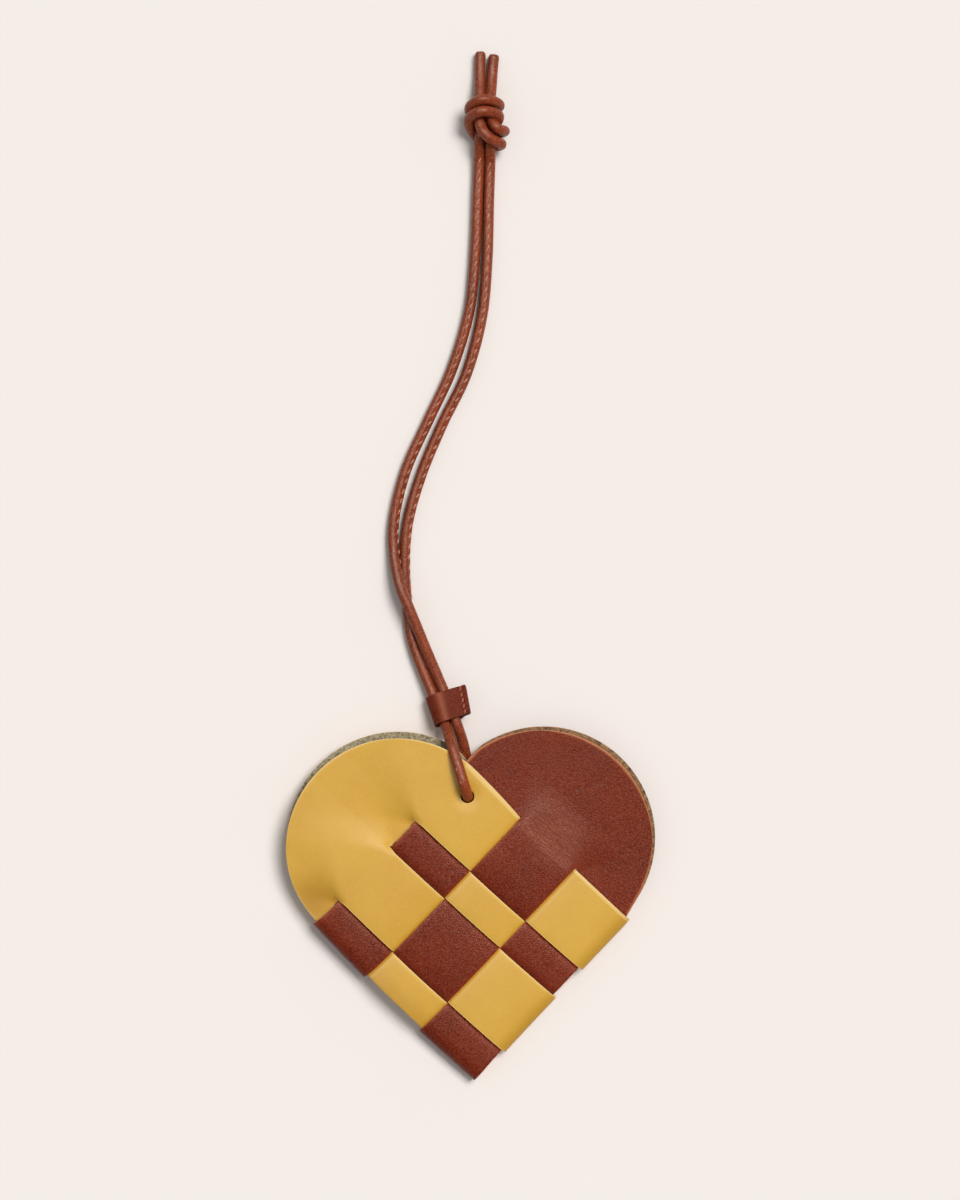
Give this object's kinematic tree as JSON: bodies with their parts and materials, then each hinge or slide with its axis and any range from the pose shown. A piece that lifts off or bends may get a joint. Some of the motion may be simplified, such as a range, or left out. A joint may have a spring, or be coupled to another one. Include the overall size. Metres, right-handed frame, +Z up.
{
  "type": "woven leather heart charm",
  "caption": "Flat heart woven from a yellow and a brown folded leather band, with a doubled leather cord through a punched hole, a slider and a knot.",
  "frame": {"origin": "on the table, under the middle of the heart as it lies; the cord is not counted", "axes": "+Z up from the table, the heart's face up; +X across the heart to the right; +Y from the heart's tip to its notch and on along the cord"},
  "size_m": [0.092, 0.2561, 0.0116],
  "materials": {
    "yellow_leather": "smooth, soft sheen",
    "brown_leather": "smooth, soft sheen",
    "cord_leather": "polished, stitched",
    "slider_leather": "smooth, satin"
  },
  "bodies": {
    "root": {"yellow_half": "yellow_leather", "brown_half": "brown_leather", "cord": "cord_leather", "slider": "slider_leather"}
  },
  "joints": []
}
